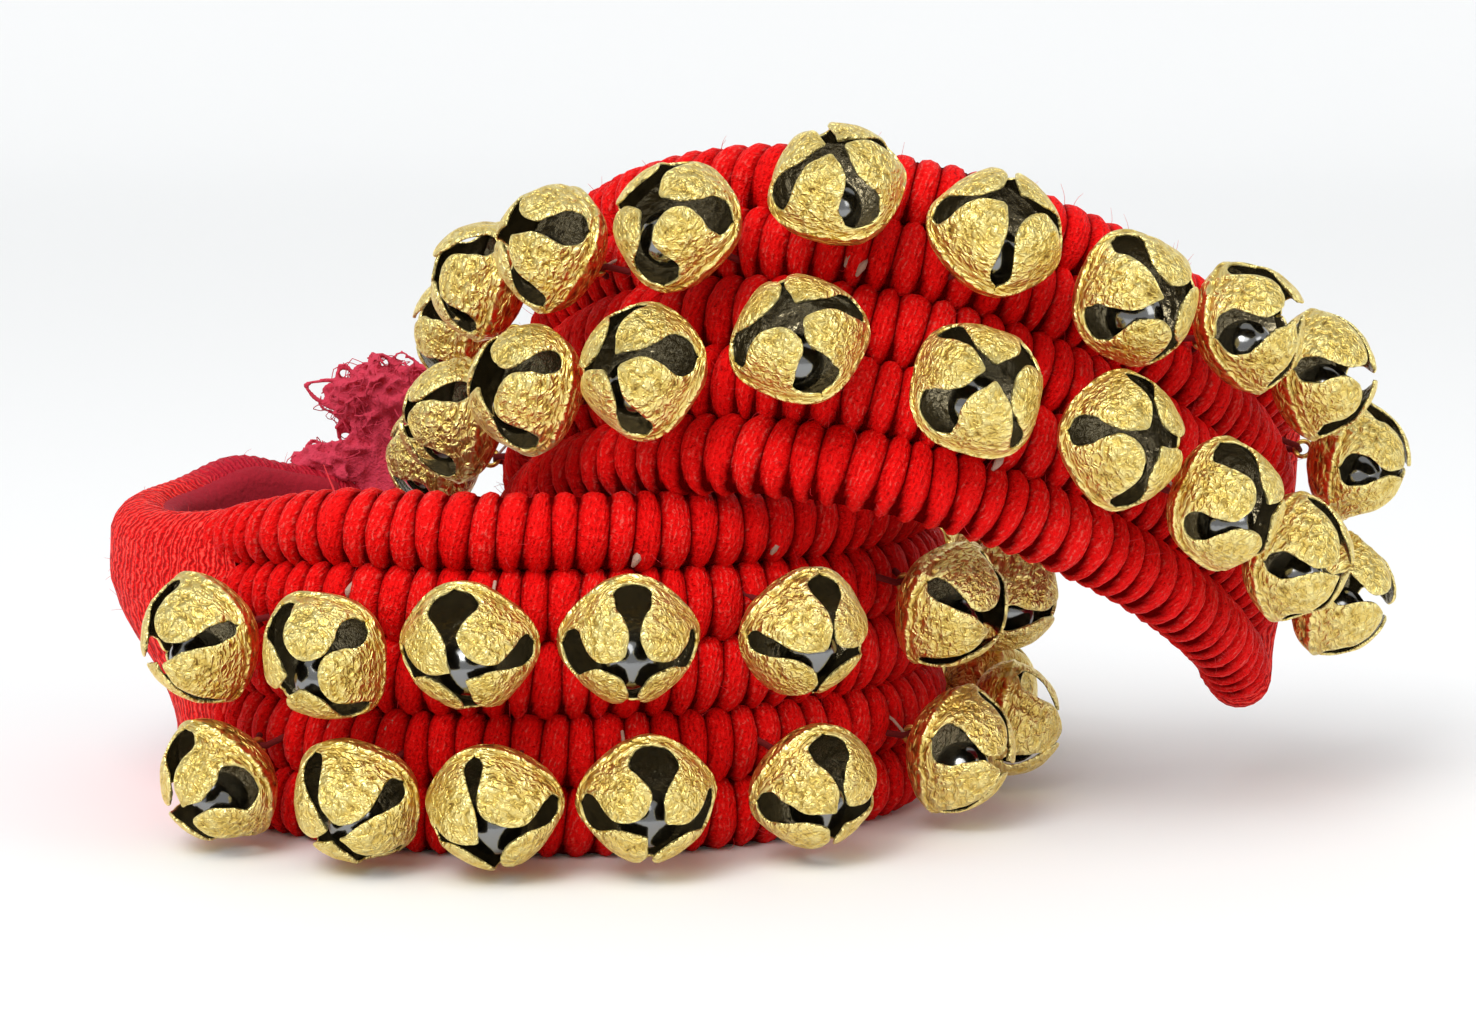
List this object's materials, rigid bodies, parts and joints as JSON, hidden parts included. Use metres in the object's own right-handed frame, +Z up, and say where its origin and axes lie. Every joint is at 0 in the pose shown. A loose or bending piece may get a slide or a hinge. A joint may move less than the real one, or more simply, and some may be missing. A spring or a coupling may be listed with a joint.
{
  "type": "ghungroo ankle bells",
  "caption": "Pair of red yarn-wrapped ankle pads, each bent into an open ring and sewn with rows of slotted brass bells that hold loose steel balls.",
  "frame": {"origin": "Centre of the bounding box in plan, on the surface that the pair rests on.", "axes": "+Z up, -Y towards the viewer of the picture, +X to the right of the picture."},
  "size_m": [0.183, 0.117, 0.0948],
  "materials": {
    "red_yarn": "matte yarn wrap with a soft sheen",
    "sewing_cord": "dark twisted cord",
    "frayed_yarn": "loose frayed yarn",
    "brass": "hammered, worn bright at the edges",
    "steel": "polished ball"
  },
  "bodies": {
    "standing": {"standing_pad": "red_yarn", "standing_top_string": "sewing_cord", "standing_low_string": "sewing_cord", "tie_tassel": "frayed_yarn"},
    "leaning": {"leaning_pad": "red_yarn", "leaning_top_string": "sewing_cord", "leaning_low_string": "sewing_cord"},
    "standing_top_bell_01": {"standing_top_bell_01": "brass"},
    "standing_top_bell_02": {"standing_top_bell_02": "brass"},
    "standing_top_bell_03": {"standing_top_bell_03": "brass"},
    "standing_top_bell_04": {"standing_top_bell_04": "brass"},
    "standing_top_bell_05": {"standing_top_bell_05": "brass"},
    "standing_top_bell_06": {"standing_top_bell_06": "brass"},
    "standing_top_bell_07": {"standing_top_bell_07": "brass"},
    "standing_top_bell_08": {"standing_top_bell_08": "brass"},
    "standing_top_bell_09": {"standing_top_bell_09": "brass"},
    "standing_top_bell_10": {"standing_top_bell_10": "brass"},
    "standing_low_bell_01": {"standing_low_bell_01": "brass"},
    "standing_low_bell_02": {"standing_low_bell_02": "brass"},
    "standing_low_bell_03": {"standing_low_bell_03": "brass"},
    "standing_low_bell_04": {"standing_low_bell_04": "brass"},
    "standing_low_bell_05": {"standing_low_bell_05": "brass"},
    "standing_low_bell_06": {"standing_low_bell_06": "brass"},
    "standing_low_bell_07": {"standing_low_bell_07": "brass"},
    "standing_low_bell_08": {"standing_low_bell_08": "brass"},
    "standing_low_bell_09": {"standing_low_bell_09": "brass"},
    "standing_low_bell_10": {"standing_low_bell_10": "brass"},
    "leaning_top_bell_01": {"leaning_top_bell_01": "brass"},
    "leaning_top_bell_02": {"leaning_top_bell_02": "brass"},
    "leaning_top_bell_03": {"leaning_top_bell_03": "brass"},
    "leaning_top_bell_04": {"leaning_top_bell_04": "brass"},
    "leaning_top_bell_05": {"leaning_top_bell_05": "brass"},
    "leaning_top_bell_06": {"leaning_top_bell_06": "brass"},
    "leaning_top_bell_07": {"leaning_top_bell_07": "brass"},
    "leaning_top_bell_08": {"leaning_top_bell_08": "brass"},
    "leaning_top_bell_09": {"leaning_top_bell_09": "brass"},
    "leaning_top_bell_10": {"leaning_top_bell_10": "brass"},
    "leaning_low_bell_01": {"leaning_low_bell_01": "brass"},
    "leaning_low_bell_02": {"leaning_low_bell_02": "brass"},
    "leaning_low_bell_03": {"leaning_low_bell_03": "brass"},
    "leaning_low_bell_04": {"leaning_low_bell_04": "brass"},
    "leaning_low_bell_05": {"leaning_low_bell_05": "brass"},
    "leaning_low_bell_06": {"leaning_low_bell_06": "brass"},
    "leaning_low_bell_07": {"leaning_low_bell_07": "brass"},
    "leaning_low_bell_08": {"leaning_low_bell_08": "brass"},
    "leaning_low_bell_09": {"leaning_low_bell_09": "brass"},
    "leaning_low_bell_10": {"leaning_low_bell_10": "brass"},
    "standing_top_ball_01": {"standing_top_ball_01": "steel"},
    "standing_top_ball_03": {"standing_top_ball_03": "steel"},
    "standing_top_ball_04": {"standing_top_ball_04": "steel"},
    "standing_top_ball_05": {"standing_top_ball_05": "steel"},
    "standing_top_ball_06": {"standing_top_ball_06": "steel"},
    "standing_low_ball_03": {"standing_low_ball_03": "steel"},
    "standing_low_ball_04": {"standing_low_ball_04": "steel"},
    "standing_low_ball_05": {"standing_low_ball_05": "steel"},
    "leaning_top_ball_05": {"leaning_top_ball_05": "steel"},
    "leaning_top_ball_06": {"leaning_top_ball_06": "steel"},
    "leaning_top_ball_08": {"leaning_top_ball_08": "steel"},
    "leaning_low_ball_05": {"leaning_low_ball_05": "steel"},
    "leaning_low_ball_07": {"leaning_low_ball_07": "steel"}
  },
  "joints": [
    {"name": "leaning_lift", "type": "slide", "parent": "standing", "child": "leaning", "axis": [0, 0, 1], "range_m": [0, 0.15]},
    {"name": "standing_top_bell_01_swing", "type": "hinge", "parent": "standing", "child": "standing_top_bell_01", "pos_m": [-0.06681, -0.02812, 0.0277], "axis": [-0.7533, 0.6577, 0], "range_deg": [-4, 20]},
    {"name": "standing_top_bell_02_swing", "type": "hinge", "parent": "standing", "child": "standing_top_bell_02", "pos_m": [-0.05173, -0.03754, 0.0276], "axis": [-0.9229, 0.3851, 0], "range_deg": [-4, 20]},
    {"name": "standing_top_bell_03_swing", "type": "hinge", "parent": "standing", "child": "standing_top_bell_03", "pos_m": [-0.03521, -0.04285, 0.0299], "axis": [-0.9932, 0.1166, 0], "range_deg": [-4, 20]},
    {"name": "standing_top_bell_04_swing", "type": "hinge", "parent": "standing", "child": "standing_top_bell_04", "pos_m": [-0.01742, -0.04283, 0.031], "axis": [-0.9878, -0.1556, 0], "range_deg": [-4, 20]},
    {"name": "standing_top_bell_05_swing", "type": "hinge", "parent": "standing", "child": "standing_top_bell_05", "pos_m": [0.002, -0.0359, 0.0296], "axis": [-0.8816, -0.472, 0], "range_deg": [-4, 20]},
    {"name": "standing_top_bell_06_swing", "type": "hinge", "parent": "standing", "child": "standing_top_bell_06", "pos_m": [0.01889, -0.02227, 0.0303], "axis": [-0.6188, -0.7855, 0], "range_deg": [-4, 20]},
    {"name": "standing_top_bell_07_swing", "type": "hinge", "parent": "standing", "child": "standing_top_bell_07", "pos_m": [0.02646, -0.00556, 0.0288], "axis": [-0.2517, -0.9678, 0], "range_deg": [-4, 20]},
    {"name": "standing_top_bell_08_swing", "type": "hinge", "parent": "standing", "child": "standing_top_bell_08", "pos_m": [0.0269, 0.01395, 0.029], "axis": [0.2219, -0.9751, 0], "range_deg": [-4, 20]},
    {"name": "standing_top_bell_09_swing", "type": "hinge", "parent": "standing", "child": "standing_top_bell_09", "pos_m": [0.01789, 0.03165, 0.0286], "axis": [0.6261, -0.7798, 0], "range_deg": [-4, 20]},
    {"name": "standing_top_bell_10_swing", "type": "hinge", "parent": "standing", "child": "standing_top_bell_10", "pos_m": [0.00413, 0.04383, 0.0289], "axis": [0.8585, -0.5128, 0], "range_deg": [-4, 20]},
    {"name": "standing_low_bell_01_swing", "type": "hinge", "parent": "standing", "child": "standing_low_bell_01", "pos_m": [-0.06509, -0.02969, 0.0094], "axis": [-0.782, 0.6232, 0], "range_deg": [-4, 8]},
    {"name": "standing_low_bell_02_swing", "type": "hinge", "parent": "standing", "child": "standing_low_bell_02", "pos_m": [-0.04843, -0.03869, 0.0093], "axis": [-0.9438, 0.3306, 0], "range_deg": [-4, 10]},
    {"name": "standing_low_bell_03_swing", "type": "hinge", "parent": "standing", "child": "standing_low_bell_03", "pos_m": [-0.03263, -0.04249, 0.0098], "axis": [-0.997, 0.0777, 0], "range_deg": [-4, 20]},
    {"name": "standing_low_bell_04_swing", "type": "hinge", "parent": "standing", "child": "standing_low_bell_04", "pos_m": [-0.01555, -0.04195, 0.0104], "axis": [-0.9825, -0.1861, 0], "range_deg": [-4, 20]},
    {"name": "standing_low_bell_05_swing", "type": "hinge", "parent": "standing", "child": "standing_low_bell_05", "pos_m": [0.00314, -0.03497, 0.0101], "axis": [-0.8694, -0.494, 0], "range_deg": [-4, 20]},
    {"name": "standing_low_bell_06_swing", "type": "hinge", "parent": "standing", "child": "standing_low_bell_06", "pos_m": [0.02015, -0.02006, 0.0105], "axis": [-0.5764, -0.8171, 0], "range_deg": [-4, 20]},
    {"name": "standing_low_bell_07_swing", "type": "hinge", "parent": "standing", "child": "standing_low_bell_07", "pos_m": [0.02737, -0.00197, 0.01], "axis": [-0.1647, -0.9864, 0], "range_deg": [-4, 14]},
    {"name": "standing_low_bell_08_swing", "type": "hinge", "parent": "standing", "child": "standing_low_bell_08", "pos_m": [0.02602, 0.01611, 0.0096], "axis": [0.2753, -0.9613, 0], "range_deg": [-4, 20]},
    {"name": "standing_low_bell_09_swing", "type": "hinge", "parent": "standing", "child": "standing_low_bell_09", "pos_m": [0.01737, 0.03195, 0.0094], "axis": [0.6352, -0.7723, 0], "range_deg": [-4, 12]},
    {"name": "standing_low_bell_10_swing", "type": "hinge", "parent": "standing", "child": "standing_low_bell_10", "pos_m": [0.00348, 0.04381, 0.0095], "axis": [0.8635, -0.5044, 0], "range_deg": [-4, 20]},
    {"name": "leaning_top_bell_01_swing", "type": "hinge", "parent": "leaning", "child": "leaning_top_bell_01", "pos_m": [-0.03434, 0.01982, 0.0637], "axis": [-0.0635, 0.9186, -0.3901], "range_deg": [-4, 20]},
    {"name": "leaning_top_bell_02_swing", "type": "hinge", "parent": "leaning", "child": "leaning_top_bell_02", "pos_m": [-0.03029, 0.00091, 0.07199], "axis": [-0.3299, 0.8855, -0.3273], "range_deg": [-4, 20]},
    {"name": "leaning_top_bell_03_swing", "type": "hinge", "parent": "leaning", "child": "leaning_top_bell_03", "pos_m": [-0.02068, -0.01629, 0.0777], "axis": [-0.6162, 0.7566, -0.2189], "range_deg": [-4, 20]},
    {"name": "leaning_top_bell_04_swing", "type": "hinge", "parent": "leaning", "child": "leaning_top_bell_04", "pos_m": [-0.00627, -0.02838, 0.08118], "axis": [-0.8575, 0.5101, -0.0673], "range_deg": [-4, 20]},
    {"name": "leaning_top_bell_05_swing", "type": "hinge", "parent": "leaning", "child": "leaning_top_bell_05", "pos_m": [0.01105, -0.03172, 0.08496], "axis": [-0.9769, 0.192, 0.0935], "range_deg": [-4, 20]},
    {"name": "leaning_top_bell_06_swing", "type": "hinge", "parent": "leaning", "child": "leaning_top_bell_06", "pos_m": [0.02821, -0.0332, 0.0799], "axis": [-0.9606, -0.1441, 0.2375], "range_deg": [-4, 20]},
    {"name": "leaning_top_bell_07_swing", "type": "hinge", "parent": "leaning", "child": "leaning_top_bell_07", "pos_m": [0.04431, -0.02958, 0.07281], "axis": [-0.8479, -0.4117, 0.334], "range_deg": [-4, 20]},
    {"name": "leaning_top_bell_08_swing", "type": "hinge", "parent": "leaning", "child": "leaning_top_bell_08", "pos_m": [0.05877, -0.01827, 0.06782], "axis": [-0.6853, -0.6134, 0.3927], "range_deg": [-4, 20]},
    {"name": "leaning_top_bell_09_swing", "type": "hinge", "parent": "leaning", "child": "leaning_top_bell_09", "pos_m": [0.06936, -0.00708, 0.06043], "axis": [-0.5253, -0.7405, 0.4192], "range_deg": [-4, 20]},
    {"name": "leaning_top_bell_10_swing", "type": "hinge", "parent": "leaning", "child": "leaning_top_bell_10", "pos_m": [0.07695, 0.00666, 0.0481], "axis": [-0.3363, -0.8389, 0.4279], "range_deg": [-4, 20]},
    {"name": "leaning_low_bell_01_swing", "type": "hinge", "parent": "leaning", "child": "leaning_low_bell_01", "pos_m": [-0.03744, 0.01212, 0.04662], "axis": [-0.0661, 0.9186, -0.3896], "range_deg": [-4, 12]},
    {"name": "leaning_low_bell_02_swing", "type": "hinge", "parent": "leaning", "child": "leaning_low_bell_02", "pos_m": [-0.03335, -0.00806, 0.05418], "axis": [-0.3448, 0.8814, -0.3228], "range_deg": [-4, 20]},
    {"name": "leaning_low_bell_03_swing", "type": "hinge", "parent": "leaning", "child": "leaning_low_bell_03", "pos_m": [-0.02364, -0.02418, 0.06034], "axis": [-0.6209, 0.7533, -0.2166], "range_deg": [-4, 18]},
    {"name": "leaning_low_bell_04_swing", "type": "hinge", "parent": "leaning", "child": "leaning_low_bell_04", "pos_m": [-0.01036, -0.03553, 0.06357], "axis": [-0.8465, 0.5268, -0.0766], "range_deg": [-4, 16]},
    {"name": "leaning_low_bell_05_swing", "type": "hinge", "parent": "leaning", "child": "leaning_low_bell_05", "pos_m": [0.0065, -0.03894, 0.06672], "axis": [-0.9724, 0.2187, 0.081], "range_deg": [-4, 20]},
    {"name": "leaning_low_bell_06_swing", "type": "hinge", "parent": "leaning", "child": "leaning_low_bell_06", "pos_m": [0.0254, -0.04188, 0.06139], "axis": [-0.9587, -0.1518, 0.2405], "range_deg": [-4, 20]},
    {"name": "leaning_low_bell_07_swing", "type": "hinge", "parent": "leaning", "child": "leaning_low_bell_07", "pos_m": [0.04194, -0.03668, 0.05538], "axis": [-0.841, -0.4228, 0.3376], "range_deg": [-4, 10]},
    {"name": "leaning_low_bell_08_swing", "type": "hinge", "parent": "leaning", "child": "leaning_low_bell_08", "pos_m": [0.05494, -0.029, 0.04661], "axis": [-0.6931, -0.6057, 0.3907], "range_deg": [-4, 20]},
    {"name": "leaning_low_bell_09_swing", "type": "hinge", "parent": "leaning", "child": "leaning_low_bell_09", "pos_m": [0.06519, -0.01815, 0.03823], "axis": [-0.5355, -0.7338, 0.4181], "range_deg": [-4, 20]},
    {"name": "leaning_low_bell_10_swing", "type": "hinge", "parent": "leaning", "child": "leaning_low_bell_10", "pos_m": [0.07349, -0.00288, 0.03069], "axis": [-0.3532, -0.8319, 0.4279], "range_deg": [-4, 20]},
    {"name": "standing_top_ball_01_roll", "type": "slide", "parent": "standing_top_bell_01", "child": "standing_top_ball_01", "axis": [-0.7533, 0.6577, 0], "range_m": [-0.001, 0.001]},
    {"name": "standing_top_ball_03_roll", "type": "slide", "parent": "standing_top_bell_03", "child": "standing_top_ball_03", "axis": [-0.9932, 0.1166, 0], "range_m": [-0.001, 0.001]},
    {"name": "standing_top_ball_04_roll", "type": "slide", "parent": "standing_top_bell_04", "child": "standing_top_ball_04", "axis": [-0.9878, -0.1556, 0], "range_m": [-0.001, 0.001]},
    {"name": "standing_top_ball_05_roll", "type": "slide", "parent": "standing_top_bell_05", "child": "standing_top_ball_05", "axis": [-0.8816, -0.472, 0], "range_m": [-0.001, 0.001]},
    {"name": "standing_top_ball_06_roll", "type": "slide", "parent": "standing_top_bell_06", "child": "standing_top_ball_06", "axis": [-0.6188, -0.7855, 0], "range_m": [-0.001, 0.001]},
    {"name": "standing_low_ball_03_roll", "type": "slide", "parent": "standing_low_bell_03", "child": "standing_low_ball_03", "axis": [-0.997, 0.0777, 0], "range_m": [-0.001, 0.001]},
    {"name": "standing_low_ball_04_roll", "type": "slide", "parent": "standing_low_bell_04", "child": "standing_low_ball_04", "axis": [-0.9825, -0.1861, 0], "range_m": [-0.001, 0.001]},
    {"name": "standing_low_ball_05_roll", "type": "slide", "parent": "standing_low_bell_05", "child": "standing_low_ball_05", "axis": [-0.8694, -0.494, 0], "range_m": [-0.001, 0.001]},
    {"name": "leaning_top_ball_05_roll", "type": "slide", "parent": "leaning_top_bell_05", "child": "leaning_top_ball_05", "axis": [-0.9769, 0.192, 0.0935], "range_m": [-0.001, 0.001]},
    {"name": "leaning_top_ball_06_roll", "type": "slide", "parent": "leaning_top_bell_06", "child": "leaning_top_ball_06", "axis": [-0.9606, -0.1441, 0.2375], "range_m": [-0.001, 0.001]},
    {"name": "leaning_top_ball_08_roll", "type": "slide", "parent": "leaning_top_bell_08", "child": "leaning_top_ball_08", "axis": [-0.6853, -0.6134, 0.3927], "range_m": [-0.001, 0.001]},
    {"name": "leaning_low_ball_05_roll", "type": "slide", "parent": "leaning_low_bell_05", "child": "leaning_low_ball_05", "axis": [-0.9724, 0.2187, 0.081], "range_m": [-0.001, 0.001]},
    {"name": "leaning_low_ball_07_roll", "type": "slide", "parent": "leaning_low_bell_07", "child": "leaning_low_ball_07", "axis": [-0.841, -0.4228, 0.3376], "range_m": [-0.001, 0.001]}
  ]
}
